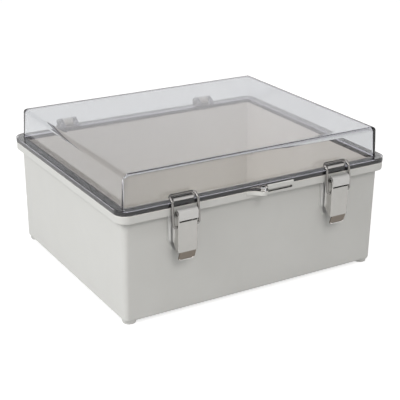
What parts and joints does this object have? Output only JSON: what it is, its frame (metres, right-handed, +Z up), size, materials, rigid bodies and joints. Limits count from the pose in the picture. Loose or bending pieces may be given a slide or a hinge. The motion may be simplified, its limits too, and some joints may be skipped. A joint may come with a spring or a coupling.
{
  "type": "outdoor plastic enclosure",
  "caption": "Weatherproof plastic equipment box with a clear domed lid on back hinges, a rubber seal and stainless toggle latches along the front.",
  "frame": {"origin": "centre of the four mounting holes, on the plane that the feet stand on", "axes": "+X to the right along the latched front, -Y out of the front, +Z up through the lid"},
  "size_m": [0.3, 0.2692, 0.1463],
  "materials": {
    "grey_plastic": "fine moulded texture, pale grey",
    "clear_plastic": "clear, polished",
    "black_rubber": "matt, soft",
    "stainless_steel": "rolled and polished",
    "brass": "turned"
  },
  "bodies": {
    "base": {"base_shell": "grey_plastic", "padlock_lug": "grey_plastic", "panel_inserts": "brass", "left_hinge_pin": "stainless_steel", "right_hinge_pin": "stainless_steel", "left_bracket": "stainless_steel", "left_rivets": "stainless_steel", "left_pivot_pin": "stainless_steel", "right_bracket": "stainless_steel", "right_rivets": "stainless_steel", "right_pivot_pin": "stainless_steel"},
    "lid": {"lid": "clear_plastic", "padlock_tab": "clear_plastic", "gasket": "black_rubber", "left_keeper": "stainless_steel", "right_keeper": "stainless_steel"},
    "left_lever": {"left_lever": "stainless_steel", "left_hood": "stainless_steel"},
    "right_lever": {"right_lever": "stainless_steel", "right_hood": "stainless_steel"},
    "left_bail": {"left_bail": "stainless_steel"},
    "right_bail": {"right_bail": "stainless_steel"}
  },
  "joints": [
    {"name": "lid_hinge", "type": "hinge", "parent": "base", "child": "lid", "pos_m": [0, 0.1306, 0.1163], "axis": [-1, 0, 0], "range_deg": [0, 110]},
    {"name": "left_lever_pivot", "type": "hinge", "parent": "base", "child": "left_lever", "pos_m": [-0.0855, -0.1294, 0.106], "axis": [-1, 0, 0], "range_deg": [0, 100]},
    {"name": "right_lever_pivot", "type": "hinge", "parent": "base", "child": "right_lever", "pos_m": [0.0855, -0.1294, 0.106], "axis": [-1, 0, 0], "range_deg": [0, 100]},
    {"name": "left_bail_pivot", "type": "hinge", "parent": "left_lever", "child": "left_bail", "pos_m": [-0.0855, -0.1294, 0.093], "axis": [-1, 0, 0], "range_deg": [-100, 0]},
    {"name": "right_bail_pivot", "type": "hinge", "parent": "right_lever", "child": "right_bail", "pos_m": [0.0855, -0.1294, 0.093], "axis": [-1, 0, 0], "range_deg": [-100, 0]}
  ],
  "couplings": [
    {"joint": "left_bail_pivot", "follows": "left_lever_pivot", "ratio": -1},
    {"joint": "right_bail_pivot", "follows": "right_lever_pivot", "ratio": -1}
  ]
}
